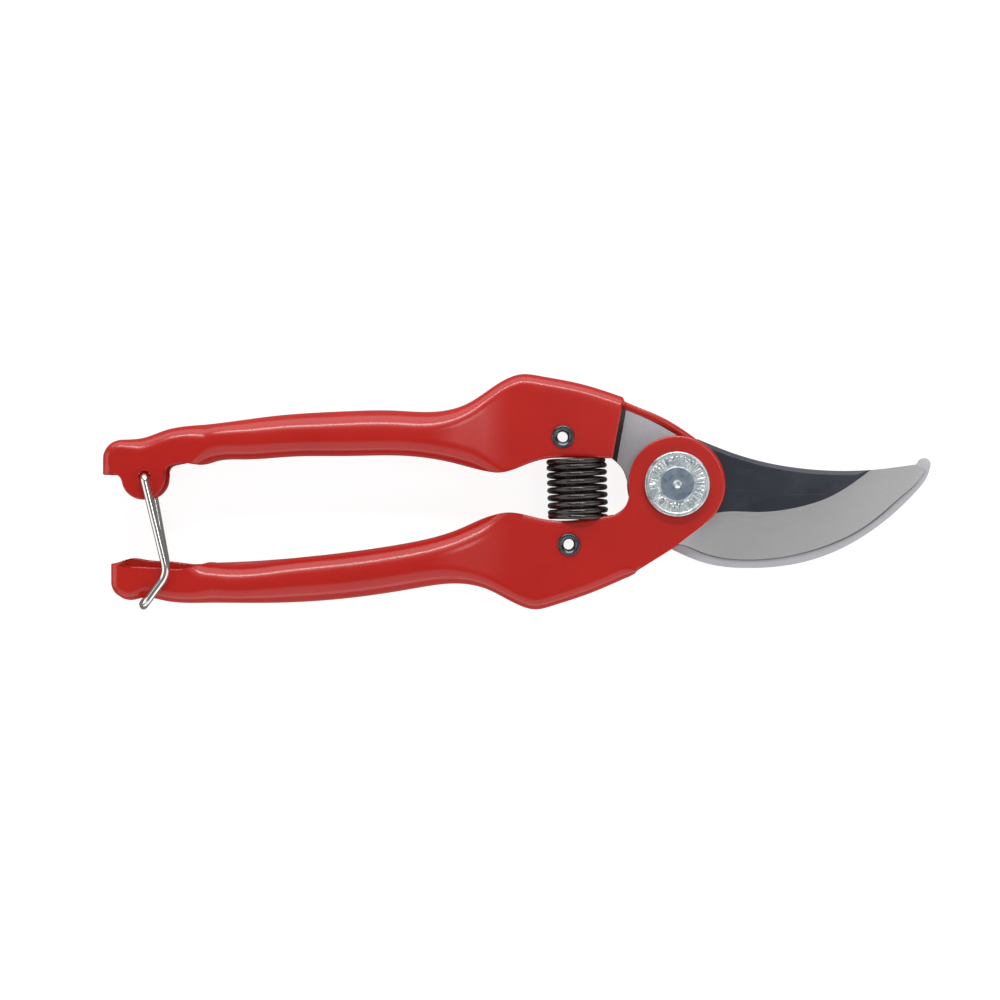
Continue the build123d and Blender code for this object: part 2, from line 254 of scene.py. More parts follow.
def plate(name, outline, bottom, top, materials):
    """A flat plate from its outline."""
    bm = bmesh.new()
    low = [bm.verts.new((x, y, bottom)) for x, y in outline]
    high = [bm.verts.new((x, y, top)) for x, y in outline]
    bm.faces.new(low[::-1])
    bm.faces.new(high)
    for i in range(len(low)):
        j = (i + 1) % len(low)
        bm.faces.new((low[i], low[j], high[j], high[i]))
    return to_piece(name, bm, materials)


def turned(profile, centre, segments=96):
    """A bmesh turned about an axis along Z from a closed profile of (radius, z)."""
    angles = np.linspace(0, 2 * math.pi, segments + 1)
    rows = np.array([[(centre[0] + r * math.cos(a), centre[1] + r * math.sin(a), z)
                      for r, z in profile + profile[:1]] for a in angles])
    bm = bmesh.new()
    add_grid(bm, rows)
    return bm


def wire(path, radius, sides, dome_height=0.35):
    """A bmesh tube of round wire along a polyline, closed at both ends by shallow domes."""
    path = np.array(path, float)
    runs = np.gradient(path, axis=0)
    runs /= np.linalg.norm(runs, axis=1)[:, None]
    side = Vector(runs[0]).orthogonal().normalized()
    rings = []
    for point, run in zip(path, runs):
        run = Vector(run)
        side = (side - run * side.dot(run)).normalized()
        up = run.cross(side)
        rings.append([Vector(point) + (side * math.cos(a) + up * math.sin(a)) * radius
                      for a in np.linspace(0, 2 * math.pi, sides + 1)])
    bm = bmesh.new()
    for end, run, ring in ((path[0], -runs[0], rings[0]), (path[-1], runs[-1], rings[-1])):
        end, lift = Vector(end), Vector(run) * radius * dome_height
        add_grid(bm, [[end + (p - end) * math.cos(t) + lift * math.sin(t) for p in ring]
                      for t in np.linspace(0, math.pi / 2, 6)])
    add_grid(bm, rings)
    return bm


# ================================ materials =======================================================

class Nodes:
    """A Principled material with short calls for its textures."""

    def __init__(self, name, **sockets):
        self.material = bpy.data.materials.new(name)
        self.material.use_nodes = True
        self.tree = self.material.node_tree
        self.shader = self.tree.nodes["Principled BSDF"]
        self.place = self.add("ShaderNodeTexCoord").outputs["Object"]
        for key, value in sockets.items():
            self.shader.inputs[key.replace("_", " ")].default_value = value

    def add(self, kind, inputs=None, **settings):
        node = self.tree.nodes.new(kind)
        for key, value in settings.items():
            setattr(node, key, value)
        for key, value in (inputs or {}).items():
            if isinstance(value, bpy.types.NodeSocket):
                self.tree.links.new(value, node.inputs[key])
            else:
                node.inputs[key].default_value = value
        return node

    def link(self, socket, name):
        self.tree.links.new(socket, self.shader.inputs[name])

    def stretched(self, x, y, z):
        return self.add("ShaderNodeMapping", {"Vector": self.place, "Scale": (x, y, z)}).outputs["Vector"]

    def noise(self, scale, detail=3.0, rough=0.55, vector=None):
        vector = vector or self.place
        return self.add("ShaderNodeTexNoise", {"Vector": vector, "Scale": scale, "Detail": detail,
                                               "Roughness": rough}).outputs["Fac"]

    def range(self, value, low, high, to_low, to_high):
        return self.add("ShaderNodeMapRange", {"Value": value, "From Min": low, "From Max": high,
                                               "To Min": to_low, "To Max": to_high}).outputs["Result"]

    def mix(self, factor, a, b):
        node = self.add("ShaderNodeMix", data_type="RGBA")
        for index, value in ((0, factor), (6, a), (7, b)):
            if isinstance(value, bpy.types.NodeSocket):
                self.tree.links.new(value, node.inputs[index])
            else:
                node.inputs[index].default_value = value
        return node.outputs[2]

    def bump(self, height, strength, distance):
        node = self.add("ShaderNodeBump", {"Height": height, "Strength": strength, "Distance": distance * MM})
        self.link(node.outputs["Normal"], "Normal")


def colour(r, g, b):
    """A linear colour with full alpha."""
    return (r, g, b, 1.0)


def red_coating():
    """Glossy red powder coat: faint orange peel, small differences in depth of colour."""
    m = Nodes("red_coating", IOR=1.45, Coat_Weight=0.5, Coat_Roughness=0.13, Coat_IOR=1.45)
    broad = m.noise(38, 2)
    fine = m.noise(900, 2, 0.5)
    deep, light = colour(0.455, 0.0070, 0.0025), colour(0.50, 0.0090, 0.0034)
    tone = m.mix(m.range(broad, 0.35, 0.65, 0, 1), deep, light)
    m.link(tone, "Base Color")
    m.link(m.range(fine, 0.3, 0.7, 0.29, 0.35), "Roughness")
    m.bump(m.noise(260, 1), 0.12, 0.05)
    return m.material


def steel(name, base, rough, metallic=1.0, grain=(1, 1, 1), grain_scale=900, depth=0.02, tone=0.12):
    """Bare or plated steel with a directional grain and slight clouding."""
    m = Nodes(name, Metallic=metallic)
    lines = m.noise(grain_scale, 3, 0.6, m.stretched(*grain))
    clouds = m.noise(55, 3)
    dark = colour(*(c * (1 - tone) for c in base))
    light = colour(*(min(1.0, c * (1 + tone)) for c in base))
    clouded = m.mix(m.range(clouds, 0.32, 0.68, 0, 1), dark, light)
    m.link(m.mix(m.range(lines, 0.35, 0.7, 0, 0.5), clouded, dark), "Base Color")
    m.link(m.range(lines, 0.3, 0.7, rough * 0.8, rough * 1.2), "Roughness")
    m.bump(lines, 0.25, depth)
    return m.material


def blade_coating():
    """Blue-grey low-friction coat: soft mottling and fine scratches along the blade."""
    m = Nodes("blade_coating", Metallic=0.35, Coat_Weight=0.15, Coat_Roughness=0.3)
    mottle = m.noise(120, 5, 0.65)
    clouds = m.noise(40, 2)
    tone = m.mix(m.range(clouds, 0.3, 0.7, 0, 1), colour(0.016, 0.019, 0.031), colour(0.029, 0.033, 0.048))
    tone = m.mix(m.range(mottle, 0.45, 0.75, 0, 0.6), tone, colour(0.056, 0.060, 0.076))
    scratches = m.noise(420, 2, 0.5, m.stretched(0.16, 2.6, 1.0))
    streak = m.range(scratches, 0.63, 0.75, 0, 0.25)
    m.link(m.mix(streak, tone, colour(0.13, 0.14, 0.16)), "Base Color")
    m.link(m.range(mottle, 0.3, 0.7, 0.36, 0.52), "Roughness")
    m.bump(mottle, 0.15, 0.03)
    return m.material


def zinc(name, dark, light):
    """Zinc plate with a faint blue cast and crystalline blotches."""
    m = Nodes(name, Metallic=1.0)
    cells = m.add("ShaderNodeTexVoronoi", {"Vector": m.place, "Scale": 650.0}, feature="F1").outputs["Color"]
    grey = m.add("ShaderNodeRGBToBW", {"Color": cells}).outputs["Val"]
    m.link(m.mix(m.range(grey, 0.2, 0.8, 0, 1), dark, light), "Base Color")
    m.link(m.range(m.noise(700, 3), 0.3, 0.7, 0.24, 0.42), "Roughness")
    m.bump(m.noise(1100, 2), 0.12, 0.02)
    return m.material


RED = red_coating()
COATED = blade_coating()
GROUND = steel("ground_steel", (0.46, 0.46, 0.465), 0.46, metallic=0.72, grain=(0.5, 3.0, 1.0), depth=0.002,
               tone=0.03)
BARE = steel("bare_steel", (0.475, 0.475, 0.50), 0.52, metallic=0.62, depth=0.004, tone=0.06)
ROLLED = steel("rolled_edge_steel", (0.54, 0.54, 0.57), 0.50, metallic=0.45, depth=0.004, tone=0.05)
# painted shade: dark steel for the steep facet along the cutting edge, standing in for the shadow line
# between the edge and the hook
PAINTED_EDGE_SHADE = steel("painted_edge_shade_steel", (0.20, 0.20, 0.21), 0.35, depth=0.002, tone=0.1)
ZINC = zinc("zinc_plate", colour(0.52, 0.58, 0.61), colour(0.80, 0.85, 0.87))
ZINC_FACE = zinc("zinc_plate_face", colour(0.25, 0.32, 0.40), colour(0.36, 0.44, 0.52))
DARK = steel("dark_rivet_steel", (0.10, 0.105, 0.115), 0.28, depth=0.004, tone=0.2)
# black oxide of the spring; the same black also paints the shade strip on the counter blade's tang
BLACK = steel("black_oxide_and_painted_shade", (0.085, 0.075, 0.072), 0.22, metallic=0.9, depth=0.0015, tone=0.2)
BRIGHT = steel("bright_wire", (0.80, 0.79, 0.77), 0.12, grain_scale=700, depth=0.003, tone=0.06)


# ================================ the two pressed handles =========================================

BAND_ROWS, BEND_ROWS, WALL_ROWS, CURL_ROWS = 5, 12, 14, 10
TAIL_STATIONS, GRIP_STATIONS, NECK_STATIONS = 46, 190, 22
LEAST_LEAN = 0.45        # keeps a wall that runs askew to its back from stretching too far


def on_eye(angle, radius=EYE_RADIUS):
    """A point of the round eye, angle in degrees."""
    return radius * math.cos(math.radians(angle)), radius * math.sin(math.radians(angle))


class Wall:
    """Half of a handle's channel, from the middle of its back, round the bend, to its open edge.

    back and rim hold one point each per station; the other values hold one number per station."""

    def __init__(self, back, rim, side, half, bend, curl, curl_angle):
        self.back, self.rim, self.side = back, rim, side
        self.half, self.bend, self.curl = half, bend, curl
        self.curl_angle = np.radians(curl_angle)
        self.band_start = np.zeros(len(back))

    def lead_to_eye(self, back, rim, bend, band_start):
        """Adds the flat stretch between the head's end and the eye."""
        n = len(back)
        self.back, self.rim = np.concatenate([self.back, back]), np.concatenate([self.rim, rim])
        self.half = np.concatenate([self.half, np.full(n, HEAD_HALF)])
        self.bend = np.concatenate([self.bend, bend])
        self.curl = np.concatenate([self.curl, np.full(n, self.curl[-1])])
        self.curl_angle = np.concatenate([self.curl_angle, np.zeros(n)])
        self.band_start = np.concatenate([self.band_start, np.full(n, band_start)])

    def grid(self, z_side, neck=0, eye=None):
        """Points [station, row, xyz]; z_side is 1 for the front wall and -1 for the rear one.

        The last stations, as many as neck says, lead on to the eye between its two angles."""
        back, rim = self.back, self.rim
        across = rim - back
        length = np.linalg.norm(across, axis=1)
        across /= length[:, None]
        lean_back, lean_rim = (np.clip((across * inward_normals(line, self.side)).sum(1), LEAST_LEAN, 1)
                               for line in (back, rim))
        curl_run = self.curl * np.sin(self.curl_angle) / lean_rim
        bend = np.minimum(self.bend, 0.9 * (length - curl_run) * lean_back)
        rows = []
        for t in np.linspace(0, 1, BAND_ROWS)[:-1]:
            rows.append((0 * length, self.band_start + (self.half - bend - self.band_start) * t, 0))
        for a in np.linspace(0, math.pi / 2, BEND_ROWS)[:-1]:
            rows.append((bend * (1 - math.cos(a)) / lean_back, self.half - bend * (1 - math.sin(a)), 0))
        start, end = bend / lean_back, length - curl_run
        for t in np.linspace(0, 1, WALL_ROWS)[:-1]:
            rows.append((start + (end - start) * t, self.half, t))
        for t in np.linspace(0, 1, CURL_ROWS):
            a = self.curl_angle * t
            rows.append((end + self.curl * np.sin(a) / lean_rim, self.half - self.curl * (1 - np.cos(a)), 0))
        points = np.zeros((len(back), len(rows), 3))
        pull = np.concatenate([np.zeros(len(back) - neck), np.linspace(0, 1, neck + 1)[1:] ** 1.5])
        for i, (run, height, t) in enumerate(rows):
            points[:, i, :2] = back + across * run[:, None]
            points[:, i, 2] = MIDDLE + z_side * height
            if neck and t > 0:
                target = np.array(on_eye(eye[0] + (eye[1] - eye[0]) * t))
                points[:, i, :2] += pull[:, None] * (target - points[-1, i, :2])[None, :]
        return points


def add_eye(bm, z, eye):
    """Flat ring round the pivot whose rim, between two angles, joins the end of a wall."""
    shared = np.linspace(eye[0], eye[1], WALL_ROWS)
    free = np.linspace(eye[1], eye[0] - math.copysign(360, eye[0] - eye[1]), 72)
    angles = np.concatenate([shared, free[1:]])
    radii = (EYE_RADIUS, 10.4, 9.2, 7.6, 5.8, BOLT_RADIUS + CLEARANCE)
    add_grid(bm, [[(*on_eye(angle, radius), z) for angle in angles] for radius in radii])


def shell(bm, thickness, rounding=0.22):
    """Gives a sheet in the bmesh its thickness, towards the inside of the channel, and rounded rims."""
    weld(bm)
    bmesh.ops.recalc_face_normals(bm, faces=bm.faces)
    outward = sum(f.normal.z * f.calc_area() * (1 if f.calc_center_median().z > MIDDLE else -1)
                  for f in bm.faces)
    if outward < 0:
        bmesh.ops.reverse_faces(bm, faces=bm.faces)
    bm.normal_update()
    inner, ahead = {}, {}
    for v in list(bm.verts):
        lean = np.mean([max(0.3, v.normal.dot(f.normal)) for f in v.link_faces])
        inner[v] = v.co - v.normal * thickness / max(lean, 0.8)
    rims = [e for e in bm.edges if len(e.link_faces) == 1]
    for e in rims:
        loop = e.link_loops[0]
        run = loop.link_loop_next.vert.co - loop.vert.co
        for v in e.verts:
            ahead[v] = ahead.get(v, Vector()) + run.cross(loop.face.normal).normalized()
    faces = list(bm.faces)
    copies = {v: bm.verts.new(co) for v, co in inner.items()}
    for f in faces:
        bm.faces.new([copies[v] for v in reversed(f.verts)])
    rings = {}
    for v, out in ahead.items():
        out.normalize()
        down = (inner[v] - v.co).normalized()
        depth = (inner[v] - v.co).length
        half = [bm.verts.new(v.co + down * t * depth) for t in (rounding / depth, 1 - rounding / depth)]
        rings[v] = [v, *half, copies[v]]
        v.co -= out * rounding
        copies[v].co -= out * rounding
    for e in rims:
        loop = e.link_loops[0]
        a, b = rings[loop.vert], rings[loop.link_loop_next.vert]
        for i in range(3):
            bm.faces.new((b[i], a[i], a[i + 1], b[i + 1]))


def handle_levels(x):
    """Half width and back bend of both handles along X."""
    half = (GRIP_HALF + (HEAD_HALF - GRIP_HALF) * ease(x, -57.5, -38.0)
            + (TAIL_HALF - GRIP_HALF) * ease(x, -103.5, -111.0))
    bend = 5.0 - 2.0 * ease(x, -60.0, -40.0) - 1.6 * ease(x, -104.0, -114.0)
    return half, bend


def tail_bend(bend, corner_bend, stations=TAIL_STATIONS):
    """Tighter bends round the end of a tail than along its back."""
    station = np.arange(len(bend))
    return np.minimum(bend, corner_bend + 1.2 * ease(station, stations * 0.25, stations * 0.6)
                      + 2 * ease(station, stations, stations + 20))


def upper_handle():
    """Channel with two tail tabs, whose rear wall runs on to the rear eye."""
    back_curve = smooth([(-127.6, 10.2), (-122.5, 10.7), (-118.0, 12.3), (-108.0, 13.75), (-94.0, 15.55),
                         (-76.0, 16.8), (-65.0, 16.95), (-54.0, 16.85), (-48.5, 18.4), (-40.4, 23.6),
                         (-35.6, 25.35), (-31.5, 24.95), (-22.0, 23.1), (HEAD_END, 20.0)], CURVE_POINTS)
    rim_curve = smooth([(TAIL_END, 4.95), (-109.6, 4.35), (-106.2, 5.25), (-100.0, 5.65), (-89.0, 6.3),
                        (-76.0, 6.45), (-63.0, 6.5), (-52.0, 4.95), (-46.0, 3.35), (-40.7, 2.6),
                        (-35.5, 4.2), (-30.5, 5.8), (-24.0, 6.1), THROAT_TOP], CURVE_POINTS)
    # tail, piece by piece: end wall and corner over the beak's edge, then the back over the tab
    corner = chain([(-131.9, 2.1), (-131.9, 5.7)], arc((-127.6, 5.85), 4.3, 180, 94, 40))
    pieces = ((corner, [(-129.6, 2.1), (-128.87, 2.1)], 16),
              (cut(back_curve, -127.9, -124.5), arc((-129.0, 0.6), 1.5, 85, 12, 12), 7),
              (cut(back_curve, -124.5, -121.6), arc(TAB_CENTRE, TAB_RADIUS, 188, 262, 40), 9),
              (cut(back_curve, -121.6, -119.2), arc(TAB_CENTRE, TAB_RADIUS, 262, 356, 40), 12),
              (cut(back_curve, -119.2, TAIL_END),
               chain(arc((-115.6, 2.5), 1.95, 195, 115, 20), [(TAIL_END, 4.95)]), 8))
    tail_back = np.concatenate([even(run, count + 1)[:-1] for run, _, count in pieces])
    tab = np.concatenate([even(run, count + 1)[:-1] for _, run, count in pieces])
    stations = len(tail_back)
    # grip and head: straight across, leaning over towards the slanted end
    xs = np.linspace(TAIL_END, HEAD_END, GRIP_STATIONS)
    back = np.concatenate([tail_back, at_x(back_curve, xs)])
    rim = np.concatenate([tab, at_x(rim_curve, xs - 2.55 * ease(xs, -36.0, HEAD_END))])
    half, bend = handle_levels(back[:, 0])
    curl_angle = 78 * ease(back[:, 0], -113.6, -107.0) * (1 - ease(back[:, 0], -49.0, -36.0))
    wall = Wall(back, rim, 1, half, tail_bend(bend, 2.3, stations), np.full(len(back), 4.6), curl_angle)
    bm = bmesh.new()
    add_grid(bm, wall.grid(1))
    # the rear wall runs on to the eye, with a low strip of the back beside it
    eye = (55.0, 177.0)
    strip = chain([(HEAD_END, 20.0)], smooth([(-11.8, 19.1), (-8.2, 17.6), STRIP_MIDDLE, (2.8, 11.8),
                                              on_eye(eye[0])], 60))
    throat = smooth([THROAT_TOP, THROAT_MIDDLE, on_eye(eye[1])], 60)
    wall.lead_to_eye(even(strip, NECK_STATIONS + 1)[1:], even(throat, NECK_STATIONS + 1)[1:],
                     3.0 * (1 - ease(np.arange(NECK_STATIONS), 4, NECK_STATIONS - 1)), MIDDLE - COUNTER_TOP)
    add_grid(bm, wall.grid(-1, NECK_STATIONS, eye))
    add_eye(bm, REAR, eye)
    return finish_handle("upper_handle_shell", bm, "upper_handle", "upper_half",
                         {"holes": [(UPPER_RIVET, RIVET_RADIUS, RIVET_RADIUS)]},
                         {"holes": [(FRONT_HINGE_HOLE, 1.4, 1.2)], "low": MIDDLE},
                         {"holes": [(BAIL_HINGE, 1.0, 1.0)], "high": MIDDLE})


def lower_handle():
    """Plainer channel, whose front wall runs on to the visible eye."""
    back_curve = smooth([(-127.9, -26.1), (-125.5, -26.7), (-122.4, -26.1), (-118.5, -26.7),
                         (-108.0, -27.35), (-92.0, -27.35), (-70.0, -25.6), (-60.0, -24.0), (-50.0, -22.95),
                         (-44.3, -24.0), (-36.0, -28.05), (-32.7, -28.9), (-28.5, -28.05), (-20.5, -25.4),
                         (HEAD_END, -21.9)], CURVE_POINTS)
    rim_points = [(-105.0, -18.1), (-90.0, -17.2), (-76.0, -15.7), (-63.6, -13.85), (-49.6, -10.1),
                  (-39.2, -6.5), (-30.0, -8.2), (-22.0, -8.2), (-14.4, -7.1)]
    front_lip = [(-128.0, -18.25), (-126.8, -18.75), (-124.5, -18.95), (-118.5, -19.25), (-113.4, -19.4),
                 (-110.6, -18.75), (-108.0, -17.95)]
    rear_lip = [(-127.9, -17.75), (-126.9, -17.35), (-122.8, -17.6), (-116.3, -18.05), (-112.2, -18.5),
                (-108.5, -18.25)]
    tail_back = chain([(-130.0, -18.25), (-130.0, -22.3)], arc((-126.2, -22.5), 3.8, 180, 245, 30),
                      cut(back_curve, -127.3, TAIL_END))
    xs = np.linspace(TAIL_END, HEAD_END, GRIP_STATIONS)[1:]
    bm = bmesh.new()
    for z_side, lip in ((1, front_lip), (-1, rear_lip)):
        rim_curve = smooth(lip + rim_points, CURVE_POINTS)
        back = np.concatenate([even(tail_back, TAIL_STATIONS), at_x(back_curve, xs)])
        rim = np.concatenate([even(cut(rim_curve, -127.9, TAIL_END), TAIL_STATIONS),
                              at_x(rim_curve, xs - 2.2 * ease(xs, -36.0, HEAD_END))])
        half, bend = handle_levels(back[:, 0])
        curl_angle = 82 * ease(back[:, 0], -114.0, -106.5) * (1 - ease(back[:, 0], -47.0, -35.5))
        wall = Wall(back, rim, -1, half, tail_bend(bend, 2.0), np.full(len(back), 4.8), curl_angle)
        if z_side < 0:
            add_grid(bm, wall.grid(z_side))
            continue
        # the front wall runs on to the eye; the bent back ends there at a small step
        eye = (307.4, 192.3)
        flank = even([(-8.8, -19.7), (-1.2, -14.95), on_eye(eye[0])], NECK_STATIONS - 3)
        neck_back = np.concatenate([[(-10.8, -21.3), (-9.6, -20.6), (-9.3, -20.1)], flank])
        throat = smooth([(-14.4, -7.1), (-11.9, -5.2), on_eye(eye[1])], 60)
        neck_bend = np.concatenate([[2.4, 1.2, 0.5], np.zeros(NECK_STATIONS - 3)])
        wall.lead_to_eye(neck_back, even(throat, NECK_STATIONS + 1)[1:], neck_bend, 0.0)
        add_grid(bm, wall.grid(z_side, NECK_STATIONS, eye))
        add_eye(bm, FRONT, eye)
    return finish_handle("lower_handle_shell", bm, "lower_handle", "lower_half",
                         {"holes": [(LOWER_RIVET, RIVET_RADIUS, RIVET_RADIUS)]})


def finish_handle(name, bm, node, body, *cuts):
    """Thickens a handle's sheet and drills it; each cut holds the settings of drill."""
    shell(bm, SHEET)
    piece = to_piece(name, bm, [RED])
    for cut_settings in cuts:
        drill(piece, **cut_settings)
    shade(piece, 50)
    return place(piece, node, body)


upper_handle()
lower_handle()


# ================================ blades ==========================================================

def add_flat(bm, outline, z):
    """One flat face from an outline of the plane."""
    bm.faces.new([bm.verts.new((x, y, z)) for x, y in outline])


def add_side(bm, outline, tops, bottom):
    """Upright faces round a closed outline, from its heights down to a level."""
    for i in range(len(outline)):
        (xa, ya), (xb, yb) = outline[i - 1], outline[i]
        corners = [(xa, ya, tops[i - 1]), (xb, yb, tops[i]), (xb, yb, bottom), (xa, ya, bottom)]
        bm.faces.new([bm.verts.new(c) for c in corners])


GROUND_DROP = 2.7        # from the blade's face down to its cutting edge
GROUND_ROWS = 10
MICRO_DROP = 0.4         # part of it taken by the steeper facet along the edge
MICRO_START = 0.955      # where the facet starts, as a share of the ground face's width
BACK_CHAMFER = (0.95, 0.42)
EDGE_ROUNDING = 0.07
HOOK_ROUNDING = 0.95


def cutting_blade():
    """Coated blade with a wide ground face; its tang lies inside the lower handle's front wall."""
    back = smooth([(5.0, 10.3), (13.1, 7.1), (20.7, 4.95), (32.0, 3.3), (44.6, 3.25), (55.0, 4.5)], 300)
    edge = smooth([(-3.8, -15.9), (0.4, -14.1), (5.2, -15.7), (16.0, -17.7), (24.0, -17.2), (33.5, -14.9),
                   (41.3, -11.5), (47.1, -7.5), (52.6, -2.6), (55.9, 0.6), (57.6, 3.5)], 160)
    edge = edge[edge[:, 0] > 0.4]
    meet_x = 44.7
    coat_end = smooth([(0.5, -9.6), (4.6, -8.3), (8.6, -6.8), (11.5, -6.35), (18.4, -6.45), (27.7, -5.4),
                       (35.6, -2.8), tuple(at_x(back, np.array([meet_x]))[0])], 240)
    inner = even(chain(coat_end, cut(back, meet_x, 55.0), [(57.6, 3.5)]), len(edge))
    widths = np.linalg.norm(inner - edge, axis=1)
    past = inner[:, 0] > meet_x
    full = np.where(past, widths[~past][-1], np.maximum(widths, 0.01))
    bm = bmesh.new()
    rows = []
    for t in np.concatenate([np.linspace(0, MICRO_START, GROUND_ROWS), [0.97, 1.0]]):
        steep = MICRO_DROP * (t > MICRO_START) * (t - MICRO_START) / (1 - MICRO_START)
        drop = (GROUND_DROP - MICRO_DROP) * np.clip(1 - (1 - t) * widths / full, 0, 1) ** 1.12 + steep
        rows.append(np.column_stack([inner + (edge - inner) * t, CUTTER_TOP - drop]))
    add_grid(bm, rows)
    ground_faces = len(bm.faces)
    top_back = inner[past][::-1]
    chamfered = back[back[:, 0] < top_back[-1][0]][::-1]
    taper = ease(chamfered[:, 0], top_back[-1][0], top_back[-1][0] - 4.0)
    normals = inward_normals(chamfered[::-1], 1)[::-1]
    ridge = chamfered + normals * (BACK_CHAMFER[0] * taper)[:, None]
    low = np.column_stack([chamfered, CUTTER_TOP - BACK_CHAMFER[1] * taper])
    add_grid(bm, [low, np.column_stack([ridge, np.full(len(ridge), CUTTER_TOP)])])
    tang = [(-2.6, 10.2), (-8.4, 6.2), (-9.6, -4.4), (-17.0, -9.5), (-31.4, -10.0), (-30.6, -25.2),
            (-13.0, -19.5), (-8.6, -17.9), (-2.0, -14.9)]
    add_flat(bm, chain([top_back[-1]], ridge, tang, inner[~past]), CUTTER_TOP)
    # side faces: down from the ground edge, the back and the tang
    outline = chain(edge, top_back, chamfered, tang)
    heights = {tuple(np.round(p[:2], 4)): p[2] for p in np.concatenate([rows[-1], rows[0][past], low])}
    add_side(bm, outline, [heights.get(tuple(np.round(p, 4)), CUTTER_TOP) for p in outline], CUTTER_BOTTOM)
    add_grid(bm, [[(*tang[-1], CUTTER_TOP)] * len(rows), [row[0] for row in rows]])
    add_flat(bm, outline, CUTTER_BOTTOM)
    for index, face in enumerate(bm.faces):
        middle = face.calc_center_median()
        edge_side = middle.x > 1 and (middle.y < -1 or middle.x > meet_x) and abs(face.normal.z) < 0.5
        face.material_index = 1 if index < ground_faces or edge_side else 0
        # painted shade: the steep facet along the cutting edge gets the dark steel, as the shadow line
        # between the edge and the hook
        if (len(rows) - 2) * (len(edge) - 1) <= index < ground_faces:
            face.material_index = 2
    piece = to_piece("cutting_blade_body", bm, [COATED, GROUND, PAINTED_EDGE_SHADE])
    round_rims(piece, EDGE_ROUNDING, 1)
    drill(piece, [((0, 0), BOLT_RADIUS, BOLT_RADIUS), (LOWER_RIVET, RIVET_RADIUS, RIVET_RADIUS)])
    shade(piece, 9)
    return place(piece, "cutting_blade", "lower_half")


def counter_blade():
    """Blunt hook behind the cutting blade; its tang lies against the upper handle's rear wall."""
    outer = smooth([(-1.3, -14.9), (7.1, -18.35), (17.0, -19.4), (28.5, -18.25), (39.0, -14.5), (49.0, -7.9),
                    (55.6, -1.6), (58.2, 2.1), (58.85, 4.2)], 120)
    tip = arc((57.5, 4.65), 1.35, -18, 165, 18)
    inner = smooth([(56.2, 5.0), (49.0, -1.6), (38.0, -9.0), (26.0, -12.6), (16.0, -11.6), (9.3, -5.8)], 90)
    strip = smooth([(HEAD_END, 19.4), STRIP_MIDDLE, (5.2, 10.3)], 24)
    nest = (strip + inward_normals(strip, 1) * (SHEET + 0.1))[::-1]
    start = math.degrees(math.atan2(inner[-1][1], inner[-1][0]))
    end = math.degrees(math.atan2(nest[0][1], nest[0][0]))
    hub = arc((0, 0), 10.9, start + 2, end - 2, 40)
    throat = smooth([THROAT_TOP, THROAT_MIDDLE, (-11.1, 0.5)], 24)
    outline = chain(outer, tip, inner, hub, nest, [(-31.0, 19.5), (-31.0, 8.5)], throat, [(-9.6, -5.0)])
    piece = plate("counter_blade_body", outline, COUNTER_BOTTOM, COUNTER_TOP, [BARE, BLACK, ROLLED])
    # painted shade: a narrow black strip beside the handle's slanted end stands in for the shade between the
    # wall's end and the tang; plain tang, brighter rolled hook
    bm = bmesh.new()
    bm.from_mesh(piece.data)
    slant = (Vector((-13.6, 5.5, 0)) * MM, Vector((15.0, -2.7, 0)))
    middle = (Vector((0, 0, 0)), Vector((1, 0, 0)))
    for point, normal in (slant, middle):
        geometry = bm.verts[:] + bm.edges[:] + bm.faces[:]
        bmesh.ops.bisect_plane(bm, geom=geometry, plane_co=point, plane_no=normal)
    for face in bm.faces:
        centre = face.calc_center_median()
        right_of_slant = (centre - slant[0]).dot(slant[1]) > 0
        # index 1, left of the slanted line and above its start, is the black of the painted shade
        face.material_index = 2 if centre.x > 0 else 0 if right_of_slant or centre.y < slant[0].y else 1
    bm.to_mesh(piece.data)
    bm.free()
    round_rims(piece, HOOK_ROUNDING, 6)
    clear = BOLT_RADIUS + CLEARANCE
    drill(piece, [((0, 0), clear, clear), (UPPER_RIVET, RIVET_RADIUS, RIVET_RADIUS)])
    shade(piece, 40)
    return place(piece, "counter_blade", "upper_half")


cutting_blade()
counter_blade()


# ================================ pivot ===========================================================

HEAD_ROUNDING = 0.4
FACE_RADIUS = HEAD_RADIUS - HEAD_ROUNDING
DIMPLE_RADIUS, DIMPLE_DEPTH = 1.05, 0.55
GROOVE_DEPTH, STROKE_HEIGHT = 0.25, 0.17
AXIS_HOLE = 0.02         # the smallest ring of a turned face, closed by a flat cap
HEAD_STEPS = 541


def head_height(r, angle):
    """Surface of the bolt's head below its top: centre dimple, ring of stamped strokes, rounded rim."""
    z = -DIMPLE_DEPTH * np.sqrt(np.clip(1 - (r / DIMPLE_RADIUS) ** 2, 0, 1))
    groove = ease(r, 3.75, 4.0) * (1 - ease(r, 6.55, 6.8))
    strokes = np.clip(2.2 * np.sin(36 * angle + 0.9 * np.sin(5 * angle)), -1, 1)
    reach = 0.55 + 0.45 * np.sin(11 * angle + 1.3)
    inner_edge, outer_edge = 4.35 + 0.5 * (1 - reach), 6.45 - 0.25 * reach
    band = ease(r, inner_edge - 0.15, inner_edge + 0.15) * (1 - ease(r, outer_edge - 0.15, outer_edge + 0.15))
    bars = ease(np.sin(9 * angle + 4.0), 0.2, 0.9) * (1 - ease(np.abs(r - 5.35), 0.12, 0.3))
    z = z - GROOVE_DEPTH * groove + STROKE_HEIGHT * groove * np.maximum(band * (strokes + 1) / 2, bars)
    rim = HEAD_ROUNDING - np.sqrt(np.clip(HEAD_ROUNDING ** 2 - (r - FACE_RADIUS) ** 2, 0, 1))
    return z - np.where(r > FACE_RADIUS, rim, 0)


